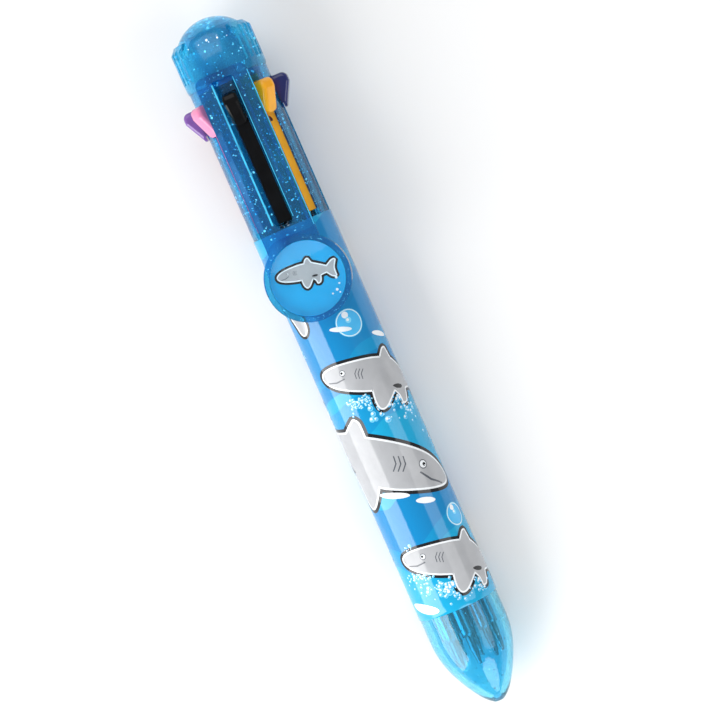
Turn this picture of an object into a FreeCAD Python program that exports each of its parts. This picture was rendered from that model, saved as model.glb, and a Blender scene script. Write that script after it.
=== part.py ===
import FreeCAD, Part
import Sketcher
import math
import os

# A click pen with eight coloured sliders, in millimetres.
# X runs along the pen from the writing tip towards the crown, Z points to the clip, Y across.

doc = FreeCAD.newDocument("MulticolourPen")
sheet = doc.addObject("Spreadsheet::Sheet", "Sizes")

SIZES = [
    ("barrel_radius", 8.05, "outer radius of both barrels"),
    ("sleeve_radius", 8.25, "outer radius of the printed sleeve"),
    ("sleeve_low", 20.6, "sleeve edge nearest the tip"),
    ("joint_line", 101.4, "where the two barrels meet"),
    ("nose_start", 15.5, "where the straight barrel turns into the nose"),
    ("nose_bend", 31.3, "radius of the nose's long middle curve"),
    ("nose_mid", 9.0, "where that curve meets the rounder one above it"),
    ("nose_mid_radius", 6.86, "nose radius at that place"),
    ("nose_round", 18.35, "radius of the curve into the straight barrel"),
    ("nose_wall", 1.4, "wall of the nose and lower barrel"),
    ("nose_turn", 2.15, "distance from the tip where the blunt end meets the nose curve"),
    ("nose_turn_radius", 3.25, "nose radius at that place"),
    ("tip_radius", 1.05, "outer radius at the very tip"),
    ("tip_bend", 8.24, "radius of the curve of the blunt end"),
    ("tip_hole", 0.9, "radius of the writing hole"),
    ("inner_bend", 19.4, "radius of the nose curve on the inside"),
    ("tip_hole_depth", 1.715, "where the hole meets that curve"),
    ("seat_shelf", 76.0, "shelf that carries the spring seat"),
    ("seat_bore", 6.9, "bore above that shelf"),
    ("socket_start", 85.5, "bottom of the socket for the upper barrel"),
    ("socket_radius", 7.5, "radius of that socket"),
    ("spigot_start", 86.0, "lower end of the spigot"),
    ("spigot_radius", 7.45, "outer radius of the spigot"),
    ("upper_bore", 6.7, "bore of the upper barrel"),
    ("shoulder", 132.3, "top of the slotted barrel, where the crown starts"),
    ("neck_radius", 7.2, "outer radius of the neck in the crown"),
    ("neck_top", 138.5, "top of the neck"),
    ("slot_half", 1.45, "half width of a slider slot"),
    ("slot_low", 89.6, "rounded lower end of a slot"),
    ("slot_top", 129.65, "square upper end of a slot"),
    ("slider_count", 8, "sliders around the barrel"),
    ("crown_radius", 8.3, "outer radius of the crown"),
    ("crown_edge", 8.15, "radius at the crown's bottom lip"),
    ("crown_lip", 132.9, "top of the bottom lip"),
    ("crown_shoulder", 140.6, "start of the crown's sloping shoulder"),
    ("dome_base", 141.8, "start of the dome"),
    ("dome_radius", 6.548, "radius of the dome at its base"),
    ("dome_start", 136.7, "where the dome curve starts on the smooth sides"),
    ("dome_bend", 8.3, "radius of the dome"),
    ("window_angle", 82.0, "angle of each smooth side, over the clip and opposite it"),
    ("shoulder_step", 0.8, "width of the flat step around the dome"),
    ("pen_length", 145.0, "top of the dome"),
    ("crown_bore", 7.25, "bore of the crown over the neck"),
    ("crown_step", 139.2, "end of that bore"),
    ("crown_hollow", 5.2, "radius of the hollow in the dome"),
    ("crown_hollow_top", 142.0, "top of that hollow"),
    ("flute_radius", 0.6, "radius of one flute"),
    ("flute_low", 134.2, "lower end of the flutes"),
    ("flute_across", 5.688, "distance of the first flute from the pen's middle plane"),
    ("flute_up", 6.317, "height of the first flute above the axis"),
    ("flute_sweep", 96.0, "angle that each row of flutes covers"),
    ("flute_count", 9, "flutes in each row"),
    ("notch_half", 3.2, "half width of the clip notch in the crown"),
    ("notch_top", 134.05, "top of that notch"),
    ("clip_half", 5.3, "half width of the clip strip"),
    ("clip_top", 134.0, "upper end of the clip"),
    ("clip_corner", 1.6, "rounding of the clip's upper corners"),
    ("clip_corner_side", 3.7, "half width left at the clip's upper end"),
    ("clip_side_clear", 6.3, "a place outside the clip's side"),
    ("clip_rise", 8.55, "height of the clip's underside at the crown"),
    ("clip_lift", 9.5, "height of its underside at the badge"),
    ("clip_thick", 1.4, "thickness of the strip"),
    ("clip_gap_half", 2.05, "half width of the slot in the clip"),
    ("clip_gap_low", 101.5, "rounded end of that slot"),
    ("clip_gap_top", 132.5, "square end of that slot"),
    ("tab_half", 3.0, "half width of the root tab"),
    ("tab_low", 132.95, "lower face of the tab"),
    ("tab_top", 133.85, "upper face of the tab"),
    ("tab_foot", 7.5, "height of the tab's foot"),
    ("badge_centre", 91.0, "centre of the badge along the pen"),
    ("badge_radius", 8.45, "outer radius of the badge cup"),
    ("badge_well", 7.4, "radius of the well in the cup"),
    ("badge_floor", 10.6, "height of the floor of the well"),
    ("badge_rim", 12.0, "height of the rim"),
    ("print_radius", 7.35, "radius of the printed disc"),
    ("print_top", 10.75, "top of the printed disc"),
    ("lens_base", 10.77, "underside of the clear dome"),
    ("lens_edge", 11.6, "height of the clear dome at its edge"),
    ("lens_radius", 7.3, "radius of the clear dome"),
    ("lens_top", 12.5, "top of the clear dome"),
    ("bump_centre", 86.6, "centre of the grip bump along the pen"),
    ("bump_foot", 9.15, "height of the foot of the grip bump"),
    ("bump_radius", 1.6, "radius of the grip bump"),
    ("refill_ring", 4.7, "distance of each refill from the axis"),
    ("tube_radius", 1.2, "outer radius of a refill tube"),
    ("tube_bore", 0.75, "bore of a refill tube"),
    ("tube_low", 14.8, "lower end of a refill tube"),
    ("tube_top", 102.55, "upper end of a refill tube"),
    ("peg_radius", 0.73, "radius of the pegs pressed into the tube"),
    ("nib_point", 9.0, "writing end of a nib at rest"),
    ("nib_ball", 0.3, "radius at the writing end"),
    ("nib_cone_low", 9.6, "lower end of the cone"),
    ("nib_cone_radius", 0.4, "radius there"),
    ("nib_cone_top", 12.6, "upper end of the cone"),
    ("nib_radius", 0.75, "radius of the nib's body"),
    ("nib_peg_top", 18.0, "upper end of the nib's peg"),
    ("stem_low", 102.6, "lower end of a slider"),
    ("stem_half", 1.35, "half width of the part in the slot"),
    ("stem_face", 7.3, "outer face of the stem"),
    ("flange_half", 1.6, "half width of the inner flange"),
    ("flange_face", 6.3, "outer face of the inner flange"),
    ("flange_top", 131.0, "top of the inner flange"),
    ("foot_radius", 1.6, "radius of the foot that holds the refill"),
    ("foot_top", 108.0, "top of that foot"),
    ("peg_low", 98.6, "lower end of the refill peg"),
    ("button_low", 122.9, "lower end of the button"),
    ("button_top", 129.45, "upper end of the button"),
    ("button_height", 11.0, "outer face of the button"),
    ("button_half", 1.55, "half width of the button"),
    ("button_inner", 8.25, "underside of the button, clear of the barrel"),
    ("neck_foot", 7.1, "inner end of the neck under the button"),
    ("neck_head", 8.6, "outer end of that neck"),
    ("button_lip", 8.65, "height of the button's lower end"),
    ("button_crest", 127.4, "where the slope meets the outer face"),
    ("button_corner", 128.25, "end of the outer face"),
    ("button_side", 9.8, "height where the top corner starts"),
    ("button_bend", 1.2, "rounding of the top corner"),
    ("button_round", 0.75, "rounding of the button's edges"),
    ("button_end", 1.5, "rounding of the button's lower end, seen from outside"),
    ("button_end_half", 0.05, "half width left at that end"),
    ("button_clear", 2.55, "a place outside the button's side"),
    ("core_low", 104.0, "lower end of the slider core"),
    ("core_radius", 2.8, "radius of its hub"),
    ("fin_low", 109.5, "lower end of the fins"),
    ("fin_reach", 6.4, "reach of the fins"),
    ("fin_half", 0.2, "half thickness of a fin"),
    ("plug_low", 131.5, "underside of the core's plug"),
    ("plug_top", 134.0, "top of that plug"),
    ("plug_radius", 6.65, "radius of that plug"),
    ("seat_top", 78.0, "top of the spring seat"),
    ("seat_radius", 6.85, "radius of the spring seat"),
    ("seat_hole", 1.35, "radius of the refill holes in the seat"),
    ("spring_low", 78.2, "lowest point of a spring's centre line"),
    ("spring_length", 24.2, "length of a spring's centre line"),
    ("spring_turns", 12, "turns in a spring"),
    ("spring_ring", 1.45, "radius of a coil"),
    ("wire_radius", 0.15, "radius of the spring wire"),
]

for row, (alias, value, meaning) in enumerate(SIZES, start=1):
    sheet.set("A%d" % row, meaning)
    sheet.set("B%d" % row, str(value))
    sheet.setAlias("B%d" % row, alias)
doc.recompute()

# Slider colours and their angles around the pen, counted from the clip towards +Y.
COLOURS = ["black", "pink", "purple", "red", "green", "sky", "navy", "yellow"]
SLIDER_ANGLES = {"black": 0, "pink": 45, "purple": 90, "red": 135, "green": 180,
                 "sky": 225, "navy": 270, "yellow": 315}


def size(alias):
    return float(sheet.get(alias))


def number(formula):
    """The value of a sheet formula such as 'a + b', '-a' or a plain number."""
    total = 0.0
    for term in formula.replace("- ", "+ -").split("+ "):
        term = term.strip()
        sign = -1.0 if term.startswith("-") else 1.0
        name = term.lstrip("-")
        total += sign * (float(name) if name[0].isdigit() else size(name))
    return total


def bound(formula):
    """The same formula with the sheet's name in front of each alias."""
    words = []
    for word in formula.split():
        sign = "-" if word.startswith("-") and len(word) > 1 else ""
        name = word[len(sign):]
        words.append(sign + ("Sizes." + name if name[0].isalpha() else name))
    return " ".join(words)


def new_body(name):
    body = doc.addObject("PartDesign::Body", name)
    body.Label = name
    return body


def plane_of(body, role):
    return [f for f in body.Origin.OriginFeatures if f.Role == role][0]


def new_sketch(body, name, role, height="0"):
    """An empty sketch on one of the body's own planes, moved along its normal to the height."""
    sketch = body.newObject("Sketcher::SketchObject", name)
    sketch.AttachmentSupport = [(plane_of(body, role), "")]
    sketch.MapMode = "FlatFace"
    if height != "0":
        sketch.setExpression(".AttachmentOffset.Base.z", bound(height))
    return sketch


def fix_point(sketch, edge, end, across, up):
    """Holds one end of an edge at a place given by two sheet formulas."""
    for kind, formula in (("DistanceX", across), ("DistanceY", up)):
        value = number(formula)
        if abs(value) < 1e-9:
            rule = Sketcher.Constraint("PointOnObject", edge, end, -2 if kind == "DistanceX" else -1)
            sketch.addConstraint(rule)
            continue
        index = sketch.addConstraint(Sketcher.Constraint(kind, -1, 1, edge, end, value))
        if any(c.isalpha() for c in formula):
            sketch.setExpression("Constraints[%d]" % index, bound(formula))


def outline(sketch, corners):
    """A closed outline through the corners. A third value on a corner bends the edge that leaves it:
    the name of the radius, or dome for an arc whose centre and far end lie on the turning axis, with a
    minus sign where the path turns clockwise; or half, for a half circle between two corners at the
    same distance across."""
    ends = []
    points = [FreeCAD.Vector(number(c[0]), number(c[1]), 0) for c in corners]
    for i, corner in enumerate(corners):
        start, stop = points[i], points[(i + 1) % len(points)]
        if len(corner) == 2:
            edge = sketch.addGeometry(Part.LineSegment(start, stop))
            ends.append((edge, 1, 2))
            continue
        if corner[2] == "half":
            middle = (start + stop) * 0.5
            around_middle = Part.Circle(middle, FreeCAD.Vector(0, 0, 1), (stop - start).Length / 2)
            turn = math.atan2(start.y - middle.y, start.x - middle.x)
            edge = sketch.addGeometry(Part.ArcOfCircle(around_middle, turn, turn + math.pi))
            sketch.addConstraint(Sketcher.Constraint("Vertical", edge, 3, edge, 1))
            ends.append((edge, 1, 2))
            continue
        clockwise = corner[2].startswith("-")
        if corner[2].lstrip("-") == "dome":
            on_axis = -1 if abs(stop.y) < 1e-9 else -2
            rise, reach = (stop.x - start.x, start.y) if on_axis == -1 else (stop.y - start.y, start.x)
            radius = (rise ** 2 + reach ** 2) / (2 * rise)
            rule = None
        else:
            radius = size(corner[2].lstrip("-"))
            rule = "Radius"
        chord = stop - start
        middle = (start + stop) * 0.5
        side = FreeCAD.Vector(-chord.y, chord.x, 0).normalize()
        away = math.sqrt(radius ** 2 - (chord.Length / 2) ** 2)
        centre = middle + side * (-away if clockwise else away)
        low, high = (stop, start) if clockwise else (start, stop)
        turn = [math.atan2(p.y - centre.y, p.x - centre.x) for p in (low, high)]
        circle = Part.Circle(centre, FreeCAD.Vector(0, 0, 1), radius)
        edge = sketch.addGeometry(Part.ArcOfCircle(circle, turn[0], turn[1]))
        ends.append((edge, 2, 1) if clockwise else (edge, 1, 2))
        if rule is None:
            sketch.addConstraint(Sketcher.Constraint("PointOnObject", edge, 3, on_axis))
            continue
        index = sketch.addConstraint(Sketcher.Constraint(rule, edge, radius))
        sketch.setExpression("Constraints[%d]" % index, bound(corner[2].lstrip("-")))
    for i, corner in enumerate(corners):
        before, here = ends[i - 1], ends[i]
        sketch.addConstraint(Sketcher.Constraint("Coincident", before[0], before[2], here[0], here[1]))
        fix_point(sketch, here[0], here[1], corner[0], corner[1])


def rectangle(sketch, low, high):
    outline(sketch, [(low[0], low[1]), (high[0], low[1]), (high[0], high[1]), (low[0], high[1])])


def circle(sketch, across, up, radius):
    place = FreeCAD.Vector(number(across), number(up), 0)
    edge = sketch.addGeometry(Part.Circle(place, FreeCAD.Vector(0, 0, 1), size(radius)))
    index = sketch.addConstraint(Sketcher.Constraint("Radius", edge, size(radius)))
    sketch.setExpression("Constraints[%d]" % index, bound(radius))
    fix_point(sketch, edge, 3, across, up)


def turned(body, name, corners):
    """A solid turned about the X axis from an outline in the plane of X and Z."""
    sketch = new_sketch(body, name + "_profile", "XZ_Plane")
    outline(sketch, corners)
    feature = body.newObject("PartDesign::Revolution", name)
    feature.Profile = sketch
    feature.ReferenceAxis = (sketch, ["H_Axis"])
    feature.Angle = 360
    sketch.Visibility = False
    return feature


def padded(body, name, sketch, length, both_ways=False, reverse=False):
    feature = body.newObject("PartDesign::Pad", name)
    feature.Profile = sketch
    feature.setExpression("Length", bound(length))
    if both_ways:
        feature.SideType = "Symmetric"
    feature.Reversed = reverse
    return feature


def cut(body, name, sketch, length, both_ways=False, reverse=False):
    """A pocket that must remove something from the body."""
    before = body.Shape.Volume
    feature = body.newObject("PartDesign::Pocket", name)
    feature.Profile = sketch
    feature.setExpression("Length", bound(length))
    if both_ways:
        feature.SideType = "Symmetric"
    feature.Reversed = reverse
    doc.recompute()
    if feature.Shape.Volume > before - 1e-3:
        raise RuntimeError(name + " removed nothing")
    return feature


def around(body, name, feature, count, angle="360"):
    """Repeats a feature around the X axis."""
    axis = plane_of(body, "X_Axis")
    pattern = body.newObject("PartDesign::PolarPattern", name)
    pattern.Originals = [feature]
    pattern.Axis = (axis, [""])
    pattern.Angle = number(angle)
    if angle != "360":
        pattern.setExpression("Angle", bound(angle))
    if count[0].isdigit():
        pattern.Occurrences = int(count)
    else:
        pattern.setExpression("Occurrences", bound(count))
    body.Tip = pattern
    doc.recompute()
    return pattern


def turn_to(angle):
    """The rotation that takes the clip side to an angle around the pen."""
    return FreeCAD.Rotation(FreeCAD.Vector(1, 0, 0), -angle)


# Lower barrel: one moulded tube that ends in a rounded nose with the writing hole.
lower = new_body("lower_barrel")
turned(lower, "Tube", [
    ("0", "tip_hole"),
    ("0", "tip_radius", "-tip_bend"),
    ("nose_turn", "nose_turn_radius", "-nose_bend"),
    ("nose_mid", "nose_mid_radius", "-nose_round"),
    ("nose_start", "barrel_radius"),
    ("joint_line", "barrel_radius"),
    ("joint_line", "socket_radius"),
    ("socket_start", "socket_radius"),
    ("socket_start", "seat_bore"),
    ("seat_shelf", "seat_bore"),
    ("seat_shelf", "barrel_radius - nose_wall"),
    ("nose_start", "barrel_radius - nose_wall", "inner_bend"),
    ("tip_hole_depth", "tip_hole"),
])

# Printed sleeve: the film with the artwork, shrunk onto the lower barrel.
sleeve = new_body("printed_sleeve")
turned(sleeve, "Film", [
    ("sleeve_low", "barrel_radius"),
    ("sleeve_low", "sleeve_radius"),
    ("joint_line", "sleeve_radius"),
    ("joint_line", "barrel_radius"),
])

# Upper barrel: eight slots, a spigot below and a neck above.
upper = new_body("upper_barrel")
turned(upper, "Shell", [
    ("spigot_start", "upper_bore"),
    ("spigot_start", "spigot_radius"),
    ("joint_line", "spigot_radius"),
    ("joint_line", "barrel_radius"),
    ("shoulder", "barrel_radius"),
    ("shoulder", "neck_radius"),
    ("neck_top", "neck_radius"),
    ("neck_top", "upper_bore"),
])
slot = new_sketch(upper, "Slot_outline", "XY_Plane")
outline(slot, [
    ("slot_low + slot_half", "-slot_half"),
    ("slot_top", "-slot_half"),
    ("slot_top", "slot_half"),
    ("slot_low + slot_half", "slot_half", "half"),
])
doc.recompute()
slot_cut = cut(upper, "Slot", slot, "barrel_radius + 1", reverse=True)
around(upper, "Slots", slot_cut, "slider_count")

# Crown: the domed cap with flutes and a notch for the clip.
crown = new_body("crown_cap")
turned(crown, "Cap", [
    ("shoulder", "crown_bore"),
    ("shoulder", "crown_edge"),
    ("crown_lip", "crown_radius"),
    ("crown_shoulder", "crown_radius"),
    ("dome_base", "dome_radius + shoulder_step"),
    ("dome_base", "dome_radius", "-dome"),
    ("pen_length", "0"),
    ("crown_hollow_top", "0"),
    ("crown_hollow_top", "crown_hollow"),
    ("crown_step", "crown_hollow"),
    ("crown_step", "crown_bore"),
])
window = new_sketch(crown, "Window_profile", "XZ_Plane")
outline(window, [
    ("dome_start", "dome_bend", "-dome_bend"),
    ("dome_base", "dome_radius"),
    ("dome_base", "crown_radius + 1"),
    ("dome_start", "crown_radius + 1"),
])
groove = crown.newObject("PartDesign::Groove", "Window")
groove.Profile = window
groove.ReferenceAxis = (window, ["H_Axis"])
groove.setExpression("Angle", "Sizes.window_angle")
groove.Midplane = True
doc.recompute()
around(crown, "Windows", groove, "2")
flute = new_sketch(crown, "Flute_outline", "YZ_Plane", "flute_low")
circle(flute, "-flute_across", "flute_up", "flute_radius")
circle(flute, "flute_across", "-flute_up", "flute_radius")
doc.recompute()
flute_cut = cut(crown, "Flute", flute, "dome_base - flute_low", reverse=True)
around(crown, "Flutes", flute_cut, "flute_count", "flute_sweep")
notch = new_sketch(crown, "Notch_outline", "XY_Plane")
rectangle(notch, ("shoulder - 1", "-notch_half"), ("notch_top", "notch_half"))
doc.recompute()
cut(crown, "Notch", notch, "crown_radius + 1", reverse=True)

# Slider core: the hub and fins that keep the sliders apart, hung from a plug under the crown.
core = new_body("slider_core")
turned(core, "Hub", [
    ("core_low", "0"),
    ("core_low", "core_radius"),
    ("plug_low", "core_radius"),
    ("plug_low", "plug_radius"),
    ("plug_top", "plug_radius"),
    ("plug_top", "0"),
])
fin = new_sketch(core, "Fin_outline", "XZ_Plane")
rectangle(fin, ("fin_low", "core_radius - 0.3"), ("plug_low + 0.2", "fin_reach"))
fin_pad = padded(core, "Fin", fin, "fin_half + fin_half", both_ways=True)
around(core, "Fins", fin_pad, "slider_count")
core.Placement = FreeCAD.Placement(FreeCAD.Vector(), turn_to(22.5))

# Spring seat: a disc on the shelf of the lower barrel, with one hole for each refill.
seat = new_body("spring_seat")
turned(seat, "Disc", [
    ("seat_shelf", "0"),
    ("seat_shelf", "seat_radius"),
    ("seat_top", "seat_radius"),
    ("seat_top", "0"),
])
hole = new_sketch(seat, "Hole_outline", "YZ_Plane", "seat_top")
circle(hole, "0", "refill_ring", "seat_hole")
doc.recompute()
hole_cut = cut(seat, "Hole", hole, "seat_top - seat_shelf")
around(seat, "Holes", hole_cut, "slider_count")

# Clip: a slotted strip with a root tab, a cup for the badge and a grip bump.
clip = new_body("clip")
side = new_sketch(clip, "Strip_side", "XZ_Plane")
outline(side, [
    ("badge_centre", "clip_lift"),
    ("clip_gap_low - 3", "clip_lift"),
    ("clip_top", "clip_rise"),
    ("clip_top", "clip_rise + clip_thick"),
    ("clip_gap_low - 3", "clip_lift + clip_thick"),
    ("badge_centre", "clip_lift + clip_thick"),
])
padded(clip, "Strip", side, "clip_half + clip_half", both_ways=True)
doc.recompute()
gap = new_sketch(clip, "Gap_outline", "XY_Plane")
outline(gap, [
    ("clip_gap_low + clip_gap_half", "-clip_gap_half"),
    ("clip_gap_top", "-clip_gap_half"),
    ("clip_gap_top", "clip_gap_half"),
    ("clip_gap_low + clip_gap_half", "clip_gap_half", "half"),
])
cut(clip, "Gap", gap, "badge_rim", reverse=True)
for hand, name in (("", "Left"), ("-", "Right")):
    corner = new_sketch(clip, name + "_corner", "XY_Plane")
    bend = "clip_corner" if hand else "-clip_corner"
    outline(corner, [
        ("clip_top - clip_corner", hand + "clip_half", bend),
        ("clip_top", hand + "clip_corner_side"),
        ("clip_top + 1", hand + "clip_corner_side"),
        ("clip_top + 1", hand + "clip_side_clear"),
        ("clip_top - clip_corner", hand + "clip_side_clear"),
    ])
    cut(clip, name + "_round", corner, "badge_rim", reverse=True)
tab = new_sketch(clip, "Tab_side", "XZ_Plane")
rectangle(tab, ("tab_low", "tab_foot"), ("tab_top", "clip_rise + 0.4"))
padded(clip, "Tab", tab, "tab_half + tab_half", both_ways=True)
cup = new_sketch(clip, "Cup_outline", "XY_Plane", "clip_lift")
circle(cup, "badge_centre", "0", "badge_radius")
padded(clip, "Cup", cup, "badge_rim - clip_lift")
doc.recompute()
well = new_sketch(clip, "Well_outline", "XY_Plane", "badge_rim")
circle(well, "badge_centre", "0", "badge_well")
cut(clip, "Well", well, "badge_rim - badge_floor")
bump = new_sketch(clip, "Bump_outline", "XY_Plane", "bump_foot")
circle(bump, "bump_centre", "0", "bump_radius")
padded(clip, "Bump", bump, "clip_lift - bump_foot + 0.2")

# Badge: a printed disc under a clear dome.
printed = new_body("badge_print")
disc = new_sketch(printed, "Print_outline", "XY_Plane", "badge_floor")
circle(disc, "badge_centre", "0", "print_radius")
padded(printed, "Print", disc, "print_top - badge_floor")

lens = new_body("badge_lens")
dome = new_sketch(lens, "Lens_profile", "YZ_Plane")
outline(dome, [
    ("0", "lens_base"),
    ("lens_radius", "lens_base"),
    ("lens_radius", "lens_edge", "dome"),
    ("0", "lens_top"),
])
lens_turn = lens.newObject("PartDesign::Revolution", "Lens")
lens_turn.Profile = dome
lens_turn.ReferenceAxis = (dome, ["V_Axis"])
lens_turn.Angle = 360
lens.Placement = FreeCAD.Placement(FreeCAD.Vector(size("badge_centre"), 0, 0), FreeCAD.Rotation())


def make_slider(name, placement):
    """Button, stem in the slot, inner flange, and the foot with the peg for the refill."""
    body = new_body(name)
    face = new_sketch(body, name + "_button_side", "XZ_Plane")
    outline(face, [
        ("button_low", "button_inner"),
        ("button_top", "button_inner"),
        ("button_top", "button_side", "button_bend"),
        ("button_corner", "button_height"),
        ("button_crest", "button_height"),
        ("button_low", "button_lip"),
    ])
    button = padded(body, name + "_button", face, "button_half + button_half", both_ways=True)
    doc.recompute()
    rims = ["Edge%d" % i for i, edge in enumerate(button.Shape.Edges, start=1)
            if edge.BoundBox.YLength < 1e-6 and edge.BoundBox.ZMax > size("button_lip") + 0.1]
    rounded = body.newObject("PartDesign::Fillet", name + "_rounding")
    rounded.Base = (button, rims)
    rounded.setExpression("Radius", bound("button_round"))
    doc.recompute()
    for hand in ("", "-"):
        trim = new_sketch(body, name + "_trim" + ("_left" if hand else "_right"), "XY_Plane", "button_inner - 0.2")
        outline(trim, [
            ("button_low", hand + "button_end_half", "button_end" if hand else "-button_end"),
            ("button_low + button_end", hand + "button_half"),
            ("button_low + button_end", hand + "button_clear"),
            ("button_low - 1", hand + "button_clear"),
            ("button_low - 1", hand + "button_end_half"),
        ])
        doc.recompute()
        cut(body, name + "_end" + ("_left" if hand else "_right"), trim, "button_height - button_inner", reverse=True)
    neck = new_sketch(body, name + "_neck_side", "XZ_Plane")
    rectangle(neck, ("button_low + 1", "neck_foot"), ("button_top", "neck_head"))
    padded(body, name + "_neck", neck, "stem_half + stem_half", both_ways=True)
    stem = new_sketch(body, name + "_stem_side", "XZ_Plane")
    rectangle(stem, ("stem_low", "flange_face - 0.2"), ("button_top", "stem_face"))
    padded(body, name + "_stem", stem, "stem_half + stem_half", both_ways=True)
    flange = new_sketch(body, name + "_flange_side", "XZ_Plane")
    rectangle(flange, ("stem_low", "refill_ring"), ("flange_top", "flange_face"))
    padded(body, name + "_flange", flange, "flange_half + flange_half", both_ways=True)
    foot = new_sketch(body, name + "_foot_outline", "YZ_Plane", "stem_low")
    circle(foot, "0", "refill_ring", "foot_radius")
    padded(body, name + "_foot", foot, "foot_top - stem_low")
    peg = new_sketch(body, name + "_peg_outline", "YZ_Plane", "peg_low")
    circle(peg, "0", "refill_ring", "peg_radius")
    padded(body, name + "_peg", peg, "stem_low - peg_low + 0.2")
    body.Placement = placement
    return body


def make_tube(name, placement):
    body = new_body(name)
    turned(body, name + "_wall", [
        ("tube_low", "tube_bore"),
        ("tube_low", "tube_radius"),
        ("tube_top", "tube_radius"),
        ("tube_top", "tube_bore"),
    ])
    body.Placement = placement
    return body


def make_nib(name, placement):
    """A cone with the ball at its end and a peg that is pressed into the tube."""
    body = new_body(name)
    turned(body, name + "_cone", [
        ("nib_point", "0"),
        ("nib_point", "nib_ball"),
        ("nib_cone_low", "nib_cone_radius"),
        ("nib_cone_top", "nib_radius"),
        ("tube_low", "nib_radius"),
        ("tube_low", "peg_radius"),
        ("nib_peg_top", "peg_radius"),
        ("nib_peg_top", "0"),
    ])
    body.Placement = placement
    return body


def make_spring(name, placement):
    """A coil of wire swept along a helix, from the seat to the slider's foot."""
    path = doc.addObject("Part::Helix", name + "_path")
    path.setExpression("Height", bound("spring_length"))
    path.Pitch = size("spring_length") / size("spring_turns")
    path.setExpression("Pitch", "Sizes.spring_length / Sizes.spring_turns")
    path.setExpression("Radius", bound("spring_ring"))
    wire = doc.addObject("Part::Circle", name + "_wire")
    wire.setExpression("Radius", bound("wire_radius"))
    wire.Placement = FreeCAD.Placement(
        FreeCAD.Vector(size("spring_ring"), 0, 0), FreeCAD.Rotation(FreeCAD.Vector(1, 0, 0), 90))
    doc.recompute()
    coil = doc.addObject("Part::Sweep", name)
    coil.Label = name
    coil.Sections = [wire]
    coil.Spine = (path, ["Edge%d" % (i + 1) for i in range(len(path.Shape.Edges))])
    coil.Solid = True
    coil.Frenet = True
    coil.Placement = placement
    return coil


parts = [lower, sleeve, upper, crown, core, seat, clip, printed, lens]
along = FreeCAD.Rotation(FreeCAD.Vector(0, 1, 0), 90)
for colour in COLOURS:
    turn = turn_to(SLIDER_ANGLES[colour])
    on_axis = FreeCAD.Placement(FreeCAD.Vector(), turn)
    on_ring = on_axis.multiply(FreeCAD.Placement(FreeCAD.Vector(0, 0, size("refill_ring")), FreeCAD.Rotation()))
    coil_place = on_ring.multiply(FreeCAD.Placement(FreeCAD.Vector(size("spring_low"), 0, 0), along))
    parts.append(make_slider("slider_" + colour, on_axis))
    parts.append(make_spring("spring_" + colour, coil_place))
    parts.append(make_tube("refill_" + colour, on_ring))
    parts.append(make_nib("nib_" + colour, on_ring))

doc.recompute()
for item in doc.Objects:
    if "Invalid" in item.State or "Error" in item.State:
        raise RuntimeError(item.Name + " is in error: " + str(item.State))
    if hasattr(item, "Shape") and not item.isDerivedFrom("App::DatumElement"):
        if item.isDerivedFrom("PartDesign::Body") or item.isDerivedFrom("Part::Feature"):
            if item.Shape.isNull() or not item.Shape.isValid():
                raise RuntimeError(item.Name + " has no sound shape")

os.makedirs("parts", exist_ok=True)
for part in parts:
    if len(part.Shape.Solids) != 1:
        raise RuntimeError(part.Label + " is not one solid")
    part.Shape.exportStep("parts/" + part.Label + ".step")
    box = part.Shape.BoundBox
    print("%-16s %8.1f mm3  x %.2f..%.2f  y %.2f..%.2f  z %.2f..%.2f" % (
        part.Label, part.Shape.Volume, box.XMin, box.XMax, box.YMin, box.YMax, box.ZMin, box.ZMax))
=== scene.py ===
import bpy, bmesh, math, random
from mathutils import Matrix, Vector


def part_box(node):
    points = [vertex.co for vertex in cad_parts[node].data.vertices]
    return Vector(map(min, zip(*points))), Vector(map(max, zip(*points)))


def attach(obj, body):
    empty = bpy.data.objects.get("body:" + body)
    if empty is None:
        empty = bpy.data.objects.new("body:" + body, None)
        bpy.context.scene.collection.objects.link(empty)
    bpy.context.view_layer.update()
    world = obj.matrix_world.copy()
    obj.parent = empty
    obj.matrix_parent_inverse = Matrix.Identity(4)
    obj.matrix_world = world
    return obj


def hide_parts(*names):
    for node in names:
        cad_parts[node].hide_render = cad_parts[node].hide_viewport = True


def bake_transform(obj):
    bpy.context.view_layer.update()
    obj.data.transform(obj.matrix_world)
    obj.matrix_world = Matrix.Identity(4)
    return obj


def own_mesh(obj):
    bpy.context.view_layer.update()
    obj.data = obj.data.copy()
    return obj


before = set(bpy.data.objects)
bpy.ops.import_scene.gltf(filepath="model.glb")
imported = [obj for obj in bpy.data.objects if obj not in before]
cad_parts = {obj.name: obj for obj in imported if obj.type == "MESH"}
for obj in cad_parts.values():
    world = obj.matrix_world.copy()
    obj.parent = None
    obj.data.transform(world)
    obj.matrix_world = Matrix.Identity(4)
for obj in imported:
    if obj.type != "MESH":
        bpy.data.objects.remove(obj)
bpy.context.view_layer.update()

# Lengths are written in millimetres and turned into metres here.
MM = 0.001
COLOURS = ["black", "pink", "purple", "red", "green", "sky", "navy", "yellow"]
AROUND = {name: 45.0 * i for i, name in enumerate(COLOURS)}
CAMERA_SIDE = math.radians(6.0)         # the camera looks from this far to the pen's -Y side
REFILL_OUT = 4.7                        # from the pen's axis to a refill's axis
TUBE_LOW, TUBE_HIGH = 14.8, 102.55
TUBE_OUTER, TUBE_INNER = 1.2, 0.77
INK_LOW, INK_HIGH, INK_RADIUS = 18.2, 90.0, 0.73
BALL_TIP, BALL_RADIUS = 9.02, 0.29
SPRING_LOW, SPRING_HIGH = 78.17, 102.43
SPRING_RING, SPRING_WIRE, SPRING_TURNS = 1.45, 0.15, 14
FILM, FILM_INNER = 8.20, 8.06           # radii of the printed sleeve
FILM_LOW, FILM_HIGH = 20.6, 101.4
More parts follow.
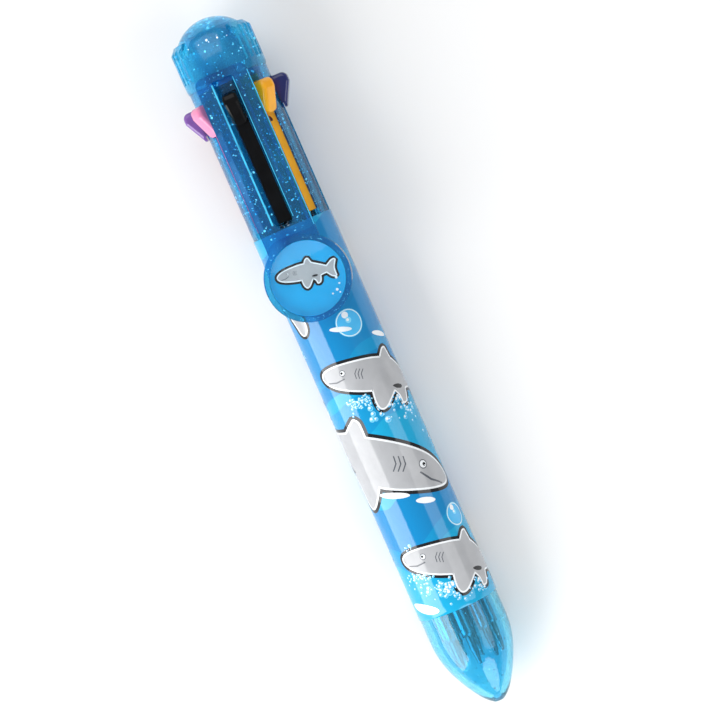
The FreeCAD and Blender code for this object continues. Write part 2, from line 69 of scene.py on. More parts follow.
random.seed(7)


# ---------------------------------------------------------------- materials
class Nodes:
    """A short way to build a node tree."""

    def __init__(self, name):
        self.mat = bpy.data.materials.new(name)
        self.mat.use_nodes = True
        self.tree = self.mat.node_tree
        self.tree.nodes.clear()
        self.out = self.tree.nodes.new("ShaderNodeOutputMaterial")

    def add(self, kind, **inputs):
        node = self.tree.nodes.new("ShaderNode" + kind)
        for key, value in inputs.items():
            self.put(node, key.replace("_", " "), value)
        return node

    def put(self, node, key, value):
        socket = node.inputs[int(key)] if key.isdigit() else node.inputs[key]
        if isinstance(value, bpy.types.NodeSocket):
            self.tree.links.new(value, socket)
        elif isinstance(value, (tuple, list)) and len(value) == 3 and socket.type == "RGBA":
            socket.default_value = (*value, 1.0)
        else:
            socket.default_value = value

    def link(self, a, b):
        self.tree.links.new(a, b)

    def noise(self, scale, detail=3.0, stretch=(1, 1, 1), rough=0.5):
        """Noise in the piece's own coordinates; scale counts features per metre."""
        where = self.add("TexCoord")
        fit = self.add("Mapping")
        self.link(where.outputs["Object"], fit.inputs["Vector"])
        fit.inputs["Scale"].default_value = stretch
        tex = self.add("TexNoise", Scale=scale, Detail=detail, Roughness=rough)
        self.link(fit.outputs["Vector"], tex.inputs["Vector"])
        return tex.outputs["Fac"]

    def ramp(self, value, *stops):
        node = self.add("ValToRGB")
        bar = node.color_ramp
        while len(bar.elements) < len(stops):
            bar.elements.new(0.5)
        for element, (place, colour) in zip(bar.elements, stops):
            element.position = place
            element.color = (*colour, 1.0) if len(colour) == 3 else colour
        self.link(value, node.inputs["Fac"])
        return node.outputs["Color"]

    def span(self, value, low, high):
        node = self.add("MapRange")
        self.link(value, node.inputs["Value"])
        node.inputs["To Min"].default_value = low
        node.inputs["To Max"].default_value = high
        return node.outputs["Result"]

    def bump(self, height, strength, distance):
        node = self.add("Bump", Strength=strength, Distance=distance)
        self.link(height, node.inputs["Height"])
        return node.outputs["Normal"]


def clear_plastic(name, tint, deep, rough=0.06, through=0.9, cloud=260.0):
    """Tinted see-through plastic with a cloudy flow in it. Lamps shine through it."""
    n = Nodes(name)
    flow = n.noise(cloud, 5.0, (0.45, 1, 1), 0.6)
    colour = n.ramp(flow, (0.30, deep), (0.62, tint))
    ripple = n.noise(900.0, 2.0)
    body = n.add("BsdfPrincipled", IOR=1.49)
    n.link(colour, body.inputs["Base Color"])
    n.link(n.span(flow, rough * 0.7, rough * 1.6), body.inputs["Roughness"])
    body.inputs["Transmission Weight"].default_value = through
    n.link(n.bump(ripple, 0.12, 0.00012), body.inputs["Normal"])
    lamp = n.add("BsdfTransparent", Color=tuple(0.48 + 0.22 * c for c in tint))
    path = n.add("LightPath")
    mix = n.add("MixShader")
    n.link(path.outputs["Is Shadow Ray"], mix.inputs["Fac"])
    n.link(body.outputs[0], mix.inputs[1])
    n.link(lamp.outputs[0], mix.inputs[2])
    n.link(mix.outputs[0], n.out.inputs["Surface"])
    return n.mat


def gloss_plastic(name, colour, vary=0.12, rough=0.16, soft=0.0, ior=1.5, coat=0.4):
    """Solid moulded plastic: faint colour drift, fine orange peel and uneven shine."""
    n = Nodes(name)
    drift = n.noise(350.0, 4.0)
    low = tuple(c * (1 - vary) for c in colour)
    high = tuple(min(1.0, c * (1 + vary) + 0.004) for c in colour)
    body = n.add("BsdfPrincipled", IOR=ior)
    n.link(n.ramp(drift, (0.3, low), (0.7, high)), body.inputs["Base Color"])
    n.link(n.span(n.noise(1400.0, 3.0), rough * 0.6, rough * 1.5), body.inputs["Roughness"])
    n.link(n.bump(n.noise(2600.0, 2.0), 0.08, 0.00006), body.inputs["Normal"])
    if soft:
        body.inputs["Subsurface Weight"].default_value = soft
        body.inputs["Subsurface Scale"].default_value = 0.001
    body.inputs["Coat Weight"].default_value = coat
    body.inputs["Coat Roughness"].default_value = 0.05
    n.link(body.outputs[0], n.out.inputs["Surface"])
    return n.mat


def metal(name, colour, rough, stretch=(1, 1, 1)):
    """Metal with fine marks; stretch draws the marks out along an axis."""
    n = Nodes(name)
    marks = n.noise(1800.0, 4.0, stretch)
    dim = tuple(c * 0.7 for c in colour)
    body = n.add("BsdfPrincipled", Metallic=1.0)
    n.link(n.ramp(marks, (0.3, dim), (0.7, colour)), body.inputs["Base Color"])
    n.link(n.span(marks, rough * 0.6, rough * 1.5), body.inputs["Roughness"])
    n.link(n.bump(marks, 0.15, 0.00003), body.inputs["Normal"])
    n.link(body.outputs[0], n.out.inputs["Surface"])
    return n.mat


def flake(name, colour, glow=0.0):
    """A glitter flake; glow stands in for the glints that a lamp gives in it."""
    n = Nodes(name)
    shade = n.noise(3000.0, 1.0)
    dim = tuple(c * 0.6 for c in colour)
    body = n.add("BsdfPrincipled", Metallic=0.55, Roughness=0.25)
    n.link(n.ramp(shade, (0.35, dim), (0.6, colour)), body.inputs["Base Color"])
    if glow:
        body.inputs["Emission Color"].default_value = (*colour, 1.0)
        body.inputs["Emission Strength"].default_value = glow
    n.link(body.outputs[0], n.out.inputs["Surface"])
    return n.mat


def print_ink(name, colour, vary=0.05):
    """Flat printing ink under a clear gloss film."""
    return gloss_plastic(name, colour, vary, 0.10, ior=1.45, coat=0.2)


def sea_film(name):
    """The sleeve's ground: darker and lighter blue bands that run slanting round the barrel."""
    n = Nodes(name)
    where = n.add("TexCoord")
    place = n.add("SeparateXYZ")
    n.link(where.outputs["Object"], place.inputs["Vector"])
    round_y = n.add("Math")
    round_y.operation = "MULTIPLY_ADD"
    n.link(place.outputs["Y"], round_y.inputs[0])
    round_y.inputs[1].default_value = 0.30
    n.link(place.outputs["X"], round_y.inputs[2])
    sway = n.add("Math")
    sway.operation = "MULTIPLY_ADD"
    n.link(n.noise(60.0, 1.0), sway.inputs[0])
    sway.inputs[1].default_value = 0.010
    n.link(round_y.outputs[0], sway.inputs[2])
    share = n.add("MapRange")
    n.link(sway.outputs[0], share.inputs["Value"])
    share.inputs["From Min"].default_value = 0.020
    share.inputs["From Max"].default_value = 0.110
    deep, mid, pale = (0.0, 0.228, 0.530), (0.0, 0.285, 0.585), (0.004, 0.370, 0.650)
    ramp = n.add("ValToRGB")
    ramp.color_ramp.interpolation = "CONSTANT"
    stops = [(0.0, pale), (0.21, mid), (0.245, deep), (0.34, pale), (0.47, pale), (0.50, mid),
             (0.56, pale), (0.585, deep), (0.615, mid), (0.64, deep), (0.80, mid), (0.84, deep), (0.93, pale)]
    bar = ramp.color_ramp
    while len(bar.elements) < len(stops):
        bar.elements.new(0.99)
    for element, (at, colour) in zip(bar.elements, stops):
        element.position = at
        element.color = (*colour, 1.0)
    n.link(share.outputs["Result"], ramp.inputs["Fac"])
    body = n.add("BsdfPrincipled", IOR=1.5)
    n.link(ramp.outputs["Color"], body.inputs["Base Color"])
    n.link(n.span(n.noise(700.0, 3.0), 0.06, 0.14), body.inputs["Roughness"])
    n.link(n.bump(n.noise(1200.0, 2.0), 0.05, 0.00005), body.inputs["Normal"])
    body.inputs["Coat Weight"].default_value = 0.2
    body.inputs["Coat Roughness"].default_value = 0.04
    n.link(body.outputs[0], n.out.inputs["Surface"])
    return n.mat


SLIDER_RGB = {
    "black": (0.0015, 0.0015, 0.002), "pink": (0.74, 0.22, 0.40), "purple": (0.20, 0.085, 0.36),
    "red": (0.62, 0.02, 0.025), "green": (0.01, 0.22, 0.06), "sky": (0.02, 0.30, 0.72),
    "navy": (0.006, 0.012, 0.13), "yellow": (0.94, 0.40, 0.006),
}
CLEAR_CROWN = clear_plastic("Cap tinted plastic", (0.05, 0.60, 0.88), (0.010, 0.36, 0.66), 0.08, 0.74)
CLEAR_BARREL = clear_plastic("Barrel tinted plastic", (0.05, 0.48, 0.80), (0.010, 0.27, 0.60), 0.04, 0.90)
CLEAR_CLIP = clear_plastic("Clip tinted plastic", (0.05, 0.48, 0.78), (0.010, 0.28, 0.58), 0.03, 0.90)
CLEAR_NOSE = clear_plastic("Nose tinted plastic", (0.20, 0.74, 0.92), (0.08, 0.60, 0.86), 0.015, 0.93)
CLEAR_DOME = clear_plastic("Badge resin", (0.93, 0.98, 1.0), (0.88, 0.96, 1.0), 0.03, 1.0, 120.0)
MILKY = gloss_plastic("Milky inner plastic", (0.30, 0.52, 0.72), 0.10, 0.25, 0.1)
TUBE = metal("Refill tube sheath", (0.30, 0.42, 0.50), 0.20, (0.1, 1, 1))
STEEL = metal("Spring steel", (0.62, 0.62, 0.64), 0.22)
NIB = metal("Nib metal", (0.22, 0.27, 0.31), 0.22, (0.2, 1, 1))
BALL = metal("Nib ball", (0.55, 0.56, 0.60), 0.15)
SPARK_WHITE = flake("White glitter", (0.85, 0.95, 1.0), 1.1)
SPARK_CYAN = flake("Cyan glitter", (0.15, 0.65, 0.95), 0.8)
SPARK_DARK = flake("Dark glitter", (0.01, 0.05, 0.10))
INK_BLACK = print_ink("Black print", (0.006, 0.007, 0.010))
INK_WHITE = print_ink("White print", (0.86, 0.90, 0.93))
INK_GREY = print_ink("Grey print", (0.42, 0.43, 0.45))
INK_SHADE = print_ink("Shading print", (0.10, 0.11, 0.13))
INK_FOAM = print_ink("Foam print", (0.22, 0.68, 0.93))
INK_BUBBLE = print_ink("Bubble print", (0.07, 0.48, 0.86))
INK_BADGE = print_ink("Badge ground print", (0.0, 0.37, 0.74))


def paint(node, material):
    materials = bpy.data.objects[node].data.materials
    materials.clear()
    materials.append(material)


paint("crown_cap", CLEAR_CROWN)
paint("upper_barrel", CLEAR_BARREL)
paint("clip", CLEAR_CLIP)
paint("lower_barrel", CLEAR_NOSE)
paint("badge_lens", CLEAR_DOME)
paint("slider_core", MILKY)
paint("spring_seat", MILKY)
for name in COLOURS:
    # The black slider shines less than the others.
    ior, coat = (1.3, 0.0) if name == "black" else (1.5, 0.4)
    paint("slider_" + name, gloss_plastic("Slider " + name, SLIDER_RGB[name], 0.08, 0.13, ior=ior, coat=coat))
    paint("nib_" + name, NIB)


# ---------------------------------------------------------------- mesh helpers
def piece(name, mesh_data, material, body, smooth=True):
    """An object from (vertices in millimetres, faces), riding on a CAD body when one is given."""
    verts, faces = mesh_data
    mesh = bpy.data.meshes.new(name)
    mesh.from_pydata([(x * MM, y * MM, z * MM) for x, y, z in verts], [], faces)
    mesh.validate()
    materials = material if isinstance(material, (list, tuple)) else [material]
    for m in materials:
        mesh.materials.append(m)
    if smooth:
        for p in mesh.polygons:
            p.use_smooth = True
    ob = bpy.data.objects.new(name, mesh)
    bpy.context.scene.collection.objects.link(ob)
    if body:
        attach(ob, body)
    return ob


def lathe(profile, sides, middle=(0.0, 0.0), closed=True):
    """Turns (x, r) pairs about a line parallel to X through middle (y, z)."""
    verts, faces = [], []
    for x, r in profile:
        for k in range(sides):
            a = 2 * math.pi * k / sides
            verts.append((x, middle[0] + r * math.sin(a), middle[1] + r * math.cos(a)))
    rings = len(profile)
    for i in range(rings if closed else rings - 1):
        j = (i + 1) % rings
        for k in range(sides):
            m = (k + 1) % sides
            faces.append((i * sides + k, i * sides + m, j * sides + m, j * sides + k))
    return verts, faces


def ring_place(name, radius):
    """(y, z) of a place at that radius on a slider's own side of the pen."""
    a = math.radians(AROUND[name])
    return radius * math.sin(a), radius * math.cos(a)


# ---------------------------------------------------------------- refills and springs
def make_refill(name):
    """A tube and the ink in it, both straight and parallel to the pen's axis."""
    middle = ring_place(name, REFILL_OUT)
    steps = [TUBE_LOW + (TUBE_HIGH - TUBE_LOW) * i / 90 for i in range(91)]
    outer = [(x, TUBE_OUTER) for x in steps]
    inner = [(x, TUBE_INNER) for x in reversed(steps)]
    tube = piece("tube_" + name, lathe(outer + inner, 28, middle), TUBE, None)
    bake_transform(tube)
    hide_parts("refill_" + name)
    ink_colour = tuple(0.75 * c + 0.01 for c in SLIDER_RGB[name])
    steps = [INK_LOW + (INK_HIGH - INK_LOW) * i / 70 for i in range(71)]
    core = [(x, INK_RADIUS) for x in steps]
    verts, faces = lathe([(steps[0], 0.01)] + core + [(steps[-1], 0.01)], 20, middle, False)
    ink_finish = gloss_plastic("Ink " + name, ink_colour, 0.1, 0.1)
    ink = piece("ink_" + name, (verts, faces), ink_finish, None)
    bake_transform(ink)


def make_spring(name):
    """Wire coil with close turns at both ends."""
    middle = ring_place(name, REFILL_OUT)
    per, sides = 28, 8
    close_turns, close_pitch = 1.2, 0.32
    verts, faces = [], []
    total = SPRING_TURNS * per
    for i in range(total + 1):
        t = i / total
        w = t * SPRING_TURNS
        if w < close_turns:
            x = SPRING_LOW + close_pitch * w
        elif w > SPRING_TURNS - close_turns:
            x = SPRING_HIGH - close_pitch * (SPRING_TURNS - w)
        else:
            a, b = SPRING_LOW + 0.384, SPRING_HIGH - 0.384
            x = a + (b - a) * (w - close_turns) / (SPRING_TURNS - 2.4)
        ang = 2 * math.pi * w
        out = Vector((0, math.sin(ang), math.cos(ang)))
        for k in range(sides):
            c = 2 * math.pi * k / sides
            r = SPRING_RING + SPRING_WIRE * math.cos(c)
            verts.append((x + SPRING_WIRE * math.sin(c), middle[0] + out.y * r, middle[1] + out.z * r))
    for i in range(total):
        for k in range(sides):
            m = (k + 1) % sides
            faces.append((i * sides + k, i * sides + m, (i + 1) * sides + m, (i + 1) * sides + k))
    faces.append(tuple(range(sides))[::-1])
    faces.append(tuple(total * sides + k for k in range(sides)))
    coil = piece("coil_" + name, (verts, faces), STEEL, "pen")
    # Its room is 24.6 mm long at rest and 11.5 mm shorter with the slider down.
    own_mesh(coil)
    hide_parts("spring_" + name)


def make_ball(name):
    """The writing ball in the end of a nib."""
    profile = []
    for i in range(9):
        a = math.pi * i / 8
        profile.append((BALL_TIP + BALL_RADIUS * (1 - math.cos(a)), BALL_RADIUS * math.sin(a) + 0.002))
    ball = lathe(profile, 16, ring_place(name, REFILL_OUT), False)
    piece("ball_" + name, ball, BALL, "point_" + name)


for name in COLOURS:
    make_refill(name)
    make_spring(name)
    make_ball(name)


# Painted shade: a small dark oval, a shallow lens on the yellow stem's outer face just under its button,
# stands in for the shade in the slit there.
def make_slit_shade():
    middle_x, middle_y, sides = 122.0, 0.25, 16
    stem_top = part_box("slider_black")[1][2] / MM - 3.70
    turn = math.radians(AROUND["yellow"])
    flat, faces = [(middle_x, middle_y, stem_top + 0.02)], []
    for k in range(sides):
        a = 2 * math.pi * k / sides
        x = middle_x + 0.62 * math.cos(a) - 0.28 * math.sin(a)
        y = middle_y + 0.50 * math.cos(a) + 0.34 * math.sin(a)
        flat.append((x, y, stem_top + 0.005))
        faces.append((0, 1 + k, 1 + (k + 1) % sides))
    c, s = math.cos(turn), math.sin(turn)
    turned = [(x, y * c + z * s, z * c - y * s) for x, y, z in flat]
    # The slit's shade, painted as a dark colour.
    dark = gloss_plastic("Painted slit shade", (0.06, 0.008, 0.004))
    piece("slit_shade_yellow", (turned, faces), dark, "slide_yellow")


make_slit_shade()


# ---------------------------------------------------------------- printed sleeve
def wrap(w, s, lift):
    """A place on the sleeve: w to the right as seen with the clip up, s from the tip, both in millimetres."""
    a = -(w / FILM) - CAMERA_SIDE
    r = FILM + lift
    return (s, r * math.sin(a), r * math.cos(a))


steps = [FILM_LOW + (FILM_HIGH - FILM_LOW) * i / 40 for i in range(41)]
film_profile = [(x, FILM_INNER) for x in reversed(steps)] + [(FILM_LOW, 8.16), (20.64, FILM)]
film_profile += [(x, FILM) for x in steps[1:-1]] + [(101.36, FILM), (FILM_HIGH, 8.16)]
film = piece("film", lathe(film_profile, 256), sea_film("Sleeve sea print"), "pen")
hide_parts("printed_sleeve")


def smooth_line(points, steps_each=6):
    """A closed smooth line through the points; a point given with True stays sharp."""
    out = []
    count = len(points)
    for i in range(count):
        p0, p1, p2, p3 = (points[(i + d) % count] for d in (-1, 0, 1, 2))
        a, b = Vector(p1[:2]), Vector(p2[:2])
        ta = Vector((0, 0)) if len(p1) > 2 else (Vector(p2[:2]) - Vector(p0[:2])) * 0.5
        tb = Vector((0, 0)) if len(p2) > 2 else (Vector(p3[:2]) - Vector(p1[:2])) * 0.5
        for k in range(steps_each):
            t = k / steps_each
            h = (2 * t ** 3 - 3 * t ** 2 + 1, t ** 3 - 2 * t ** 2 + t,
                 -2 * t ** 3 + 3 * t ** 2, t ** 3 - t ** 2)
            out.append(a * h[0] + ta * h[1] + b * h[2] + tb * h[3])
    return out


def grown(line, by):
    """The closed line moved outwards by a distance."""
    area = sum(line[i - 1].x * p.y - p.x * line[i - 1].y for i, p in enumerate(line))
    way = 1 if area > 0 else -1
    out = []
    for i, p in enumerate(line):
        d = line[(i + 1) % len(line)] - line[i - 1]
        if d.length < 1e-9:
            out.append(p.copy())
            continue
        d.normalize()
        out.append(p + Vector((d.y, -d.x)) * by * way)
    return out


class Sheet:
    """Collects flat shapes, then bends them onto the sleeve or the badge as one mesh."""

    def __init__(self, place, longest):
        self.place, self.longest = place, longest
        self.verts, self.faces, self.kinds, self.materials = [], [], [], []

    def add(self, line, lift, material):
        if material not in self.materials:
            self.materials.append(material)
        bm = bmesh.new()
        ring = [bm.verts.new((p[0], p[1], 0)) for p in line]
        edges = [bm.edges.new((ring[i], ring[(i + 1) % len(ring)])) for i in range(len(ring))]
        bmesh.ops.triangle_fill(bm, edges=edges, use_beauty=True)
        for _ in range(5):
            long_ones = [e for e in bm.edges if e.calc_length() > self.longest]
            if not long_ones:
                break
            bmesh.ops.subdivide_edges(bm, edges=long_ones, cuts=1)
            bmesh.ops.triangulate(bm, faces=bm.faces[:])
        bm.verts.index_update()
        first = len(self.verts)
        for v in bm.verts:
            self.verts.append(self.place(v.co.x, v.co.y, lift))
        for f in bm.faces:
            self.faces.append(tuple(first + v.index for v in f.verts))
            self.kinds.append(self.materials.index(material))
        bm.free()

    def dot(self, x, y, r, lift, material, sides=14):
        ring = [(x + r * math.cos(2 * math.pi * k / sides), y + r * math.sin(2 * math.pi * k / sides))
                for k in range(sides)]
        self.add(ring, lift, material)

    def band(self, line, near, far, lift, material):
        """A closed strip beside a line, between two distances outwards from it."""
        if material not in self.materials:
            self.materials.append(material)
        first, count = len(self.verts), len(line)
        for a, b in zip(grown(line, near), grown(line, far)):
            self.verts.append(self.place(a.x, a.y, lift))
            self.verts.append(self.place(b.x, b.y, lift))
        for k in range(count):
            m = (k + 1) % count
            self.faces.append((first + 2 * k, first + 2 * k + 1, first + 2 * m + 1, first + 2 * m))
            self.kinds.append(self.materials.index(material))

    def loop(self, x, y, r, width, lift, material, sides=40):
        """A thin ring."""
        turn = [2 * math.pi * k / sides for k in range(sides)]
        self.band([Vector((x + r * math.cos(a), y + r * math.sin(a))) for a in turn], -width / 2, width / 2,
                  lift, material)

    def finish(self, name, body):
        ob = piece(name, (self.verts, self.faces), self.materials, body)
        if len(ob.data.polygons) == len(self.kinds):
            ob.data.polygons.foreach_set("material_index", self.kinds)
        return ob


# A cartoon fish much like a shark, seen from the side: nose at the origin, tail towards +x, back towards +y.
FISH = [
    # head and back
    (0.0, 0.0), (0.8, 1.15), (3.0, 2.35), (6.2, 3.35), (9.6, 4.1),
    # back fin
    (12.1, 4.4, True), (12.9, 6.2), (13.6, 6.6, True), (14.9, 4.6, True), (18.5, 3.4),
    # tail
    (21.4, 2.3, True), (23.9, 4.6), (25.2, 4.9, True), (24.3, 1.4), (25.0, -1.9, True), (23.4, -1.6),
    (21.2, 0.2, True), (18.9, -0.5),
    # small lower fin
    (18.2, -1.0, True), (17.9, -3.4), (17.0, -4.0, True), (16.3, -2.6), (14.9, -1.6, True),
    # large lower fin
    (14.0, -3.2), (13.0, -4.9), (12.1, -5.4), (11.3, -4.7), (10.7, -3.2), (10.4, -1.9, True),
    # belly
    (7.0, -2.0), (3.2, -1.75), (0.8, -1.05),
]
SLANT = math.radians(-23.7)


def fish_at(nose, scale, facing):
    """Moves a point from the fish's own plane to the sleeve. The fish swims along a slanting line."""
    across = Vector((math.cos(SLANT), math.sin(SLANT)))
    up = Vector((-math.sin(SLANT), math.cos(SLANT)))

    def put(x, y):
        return Vector(nose) + across * (x * facing * scale) + up * (y * scale)
    return put


def draw_fish(sheet, put, scale, lifts):
    """One fish: grey body, white rim, black outer line, eye, gill lines, mouth and a dark far fin."""
    outline = [put(p.x, p.y) for p in smooth_line(FISH, max(5, int(8 * scale)))]
    rim, edge = 0.34 * scale ** 0.4, 0.92 * scale ** 0.4
    sheet.band(outline, rim - 0.05, edge, lifts[0], INK_BLACK)
    sheet.band(outline, -0.05, rim, lifts[1], INK_WHITE)
    sheet.add(outline, lifts[2], INK_GREY)
    eye, pupil = put(4.3, 1.2), put(4.15, 1.2)
    sheet.dot(eye.x, eye.y, 0.62 * scale, lifts[3], INK_SHADE)
    sheet.dot(eye.x, eye.y, 0.50 * scale, lifts[4], INK_WHITE)
    sheet.dot(pupil.x, pupil.y, 0.24 * scale, lifts[5], INK_BLACK)
    for k in range(3):
        x = 7.0 + 0.62 * k
        sheet.add([put(x, 2.2), put(x - 0.34, 1.2), put(x, 0.2), put(x + 0.16, 0.2), put(x - 0.16, 1.2),
                   put(x + 0.16, 2.2)], lifts[3], INK_SHADE)
    mouth = [put(1.3, -1.0), put(3.1, -0.62), put(4.7, 0.25),
             put(4.85, 0.05), put(3.25, -0.88), put(1.3, -1.22)]
    sheet.add(mouth, lifts[3], INK_SHADE)
    far_fin = [put(14.6, -0.95), put(15.9, -0.45), put(17.2, -0.55), put(16.9, -1.15), put(15.6, -1.35)]
    sheet.add(smooth_line([tuple(p) for p in far_fin], 5), lifts[3], INK_BLACK)


def flat_oval(sheet, w, s, half_long, half_short, lift, material, sides=26):
    tilt = SLANT + math.radians(4)
    pts = []
    for k in range(sides):
        a = 2 * math.pi * k / sides
        x, y = half_long * math.cos(a), half_short * math.sin(a)
        pts.append((w + x * math.cos(tilt) - y * math.sin(tilt), s + x * math.sin(tilt) + y * math.cos(tilt)))
    sheet.add(pts, lift, material)


# Places on the sleeve are (w, s) as in wrap. LIFTS are the print layers' heights over the film, lowest first.
art = Sheet(wrap, 0.7)
LIFTS = (0.022, 0.029, 0.036, 0.041, 0.046, 0.050)

# nose, scale, facing
shoals = [((-7.0, 72.1), 1.0, 1), ((10.2, 44.9), 1.5, -1), ((-6.95, 33.4), 1.0, 1), ((14.5, 94.0), 1.0, 1),
          ((14.2, 34.0), 0.9, 1)]
for nose, scale, facing in shoals:
    draw_fish(art, fish_at(nose, scale, facing), scale, LIFTS)

# The end of a fin that shows under the badge.
lone_fin = smooth_line([(-11.4, 88.6), (-9.4, 86.0), (-8.3, 83.4), (-7.6, 81.4), (-6.7, 81.2), (-5.9, 82.4),
                        (-6.0, 85.0), (-6.6, 88.4), (-8.6, 91.0)])
art.band(lone_fin, 0.30, 0.90, LIFTS[0], INK_BLACK)
art.band(lone_fin, -0.05, 0.35, LIFTS[1], INK_WHITE)
art.add(lone_fin, LIFTS[2], INK_GREY)

# w, s, half length, half width
ovals = [(0.6, 79.4, 2.2, 0.50), (8.6, 75.6, 2.2, 0.55), (-2.9, 45.8, 3.1, 0.62), (2.5, 42.6, 2.0, 0.60),
         (-7.1, 22.9, 3.4, 1.0), (-16.0, 70.6, 2.2, 0.55), (20.5, 57.0, 2.6, 0.55), (18.0, 82.0, 2.2, 0.55),
         (-19.5, 43.0, 2.4, 0.55)]
for w, s, half, thick in ovals:
    flat_oval(art, w, s, half, thick, LIFTS[1] + 0.002, INK_WHITE)

# Big round bubbles: w, s, radius
for w, s, r in [(2.7, 79.9, 2.6), (7.6, 37.6, 2.2), (-13.0, 65.6, 1.9), (20.0, 70.0, 2.4)]:
    art.dot(w, s, r, LIFTS[0] - 0.004, INK_BUBBLE, 32)
    art.loop(w, s, r, 0.32, LIFTS[1], INK_FOAM)
    art.loop(w, s, r - 0.05, 0.12, LIFTS[2], INK_WHITE)
    art.dot(w - 0.1 * r, s + r * 0.66, r * 0.26, LIFTS[2], INK_WHITE)
    art.dot(w, s + r * 0.22, r * 0.24, LIFTS[2], INK_FOAM)
    art.dot(w - 0.1, s + r * 0.26, r * 0.11, LIFTS[3], INK_WHITE)


def bubble(w, s, r):
    """A printed bubble: pale rim, bright middle and a small white glint."""
    art.dot(w, s, r, LIFTS[0] - random.uniform(0.001, 0.006), INK_FOAM, 12)
    if r > 0.24:
        art.dot(w + r * 0.12, s - r * 0.12, r * 0.66, LIFTS[0] + 0.001, INK_BUBBLE, 12)
    art.dot(w - r * 0.22, s + r * 0.26, r * 0.46, LIFTS[0] + 0.003, INK_WHITE, 8)


# Clouds of small bubbles: middle, spread, how many, largest
clouds = [
    ((-1.6, 64.8), (2.6, 1.5), 70, 0.20), ((3.2, 62.0), (3.6, 2.2), 46, 0.52),
    ((7.4, 60.6), (2.2, 2.2), 30, 0.36), ((-5.4, 28.9), (3.4, 1.6), 60, 0.20),
    ((-1.4, 25.6), (3.4, 1.7), 46, 0.52), ((2.0, 24.4), (3.4, 2.0), 50, 0.34),
    ((6.8, 23.6), (2.4, 1.8), 40, 0.46), ((-4.6, 34.9), (0.8, 1.0), 8, 0.3),
    ((16.0, 55.0), (5.0, 3.0), 60, 0.4), ((-15.5, 76.0), (4.5, 3.0), 60, 0.4),
    ((-16.0, 34.0), (4.0, 3.0), 60, 0.4), ((20.0, 22.8), (4.0, 1.6), 30, 0.4),
]
for centre, spread, count, top in clouds:
    for _ in range(count):
        w = random.gauss(centre[0], spread[0] * 0.5)
        s = random.gauss(centre[1], spread[1] * 0.5)
        r = 0.17 + (top * 1.35 - 0.14) * random.random() ** 2
        if 20.9 + r < s < 101.0 - r:
            bubble(w, s, r)
art.finish("sleeve_artwork", "pen")


# ---------------------------------------------------------------- badge
low_corner, high_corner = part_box("badge_print")
BADGE_MIDDLE = (low_corner[0] + high_corner[0]) / 2 / MM
BADGE_TOP = 10.61
BADGE_SCALE = 0.44


def on_badge(x, y, lift):
    """A place on the badge: x to the right, y up, in millimetres, as seen with the pen slanting."""
    right = x * math.cos(SLANT) - y * math.sin(SLANT)
    along = x * math.sin(SLANT) + y * math.cos(SLANT)
    return (BADGE_MIDDLE + along, -right, BADGE_TOP + lift)


badge = Sheet(on_badge, 3.0)
badge.dot(0.0, 0.0, 7.3, 0.0, INK_BADGE, 96)


def badge_fish(x, y):
    """Moves a point from the fish's own plane to the badge."""
    c, s = math.cos(math.radians(8)), math.sin(math.radians(8))
    return Vector((BADGE_SCALE * (x * c - y * s) - 5.7, BADGE_SCALE * (x * s + y * c) - 0.1))


draw_fish(badge, badge_fish, BADGE_SCALE, (0.02, 0.035, 0.05, 0.065, 0.08, 0.095))
for x, y, r in [(5.3, 0.2, 0.26), (5.9, -0.9, 0.18), (5.5, -2.1, 0.26), (4.7, -2.9, 0.18), (6.1, -2.6, 0.15)]:
    badge.dot(x, y, r, 0.04, INK_WHITE)
badge_face = badge.finish("badge_artwork", "clip_arm")
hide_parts("badge_print")


# ---------------------------------------------------------------- glitter
def flakes(name, places, material, body, low=0.06, high=0.27):
    """Thin hexagonal flakes at random angles, as one mesh."""
    verts, faces = [], []
    for x, y, z in places:
        r = low + (high - low) * random.random() ** 1.6
        about_x = Matrix.Rotation(random.uniform(0, math.pi), 3, "X")
        about_y = Matrix.Rotation(random.uniform(0, 6.28), 3, "Y")
        turn = about_x @ about_y
        first = len(verts)
        for h in (-0.006, 0.006):
            for k in range(6):
                a = math.pi * k / 3
                v = turn @ Vector((r * math.cos(a), r * math.sin(a), h))
                verts.append((x + v.x, y + v.y, z + v.z))
        faces.append(tuple(first + k for k in range(6))[::-1])
        faces.append(tuple(first + 6 + k for k in range(6)))
        for k in range(6):
            m = (k + 1) % 6
            faces.append((first + k, first + m, first + 6 + m, first + 6 + k))
    return piece(name, (verts, faces), material, body, smooth=False)


def in_shell(count, x_low, x_high, radius, keep=lambda x, a, r: True):
    """Random places in a turned wall; radius gives the two limits at x, keep can refuse a place."""
    out = []
    while len(out) < count:
        x = random.uniform(x_low, x_high)
        a = random.uniform(0, 2 * math.pi)
        r = random.uniform(*radius(x))
        if keep(x, a, r):
            out.append((x, r * math.sin(a), r * math.cos(a)))
    return out


def off_slots(x, a, r):
    """True on the bars between the slider slots."""
    slot_top, slot_half, margin = 130.2, 1.45, 0.25
    if x > slot_top:
        return True
    part = math.pi / 4
    off = abs((a + part / 2) % part - part / 2) * r
    return off > slot_half + margin


def nose_wall(x):
    """Inner and outer limits for flakes in the nose wall."""
    arc, arc_x, arc_below = 19.4, 15.5, 12.75
    inner = math.sqrt(arc ** 2 - max(0.0, arc_x - x) ** 2) - arc_below
    return inner + 0.2, inner + 1.15


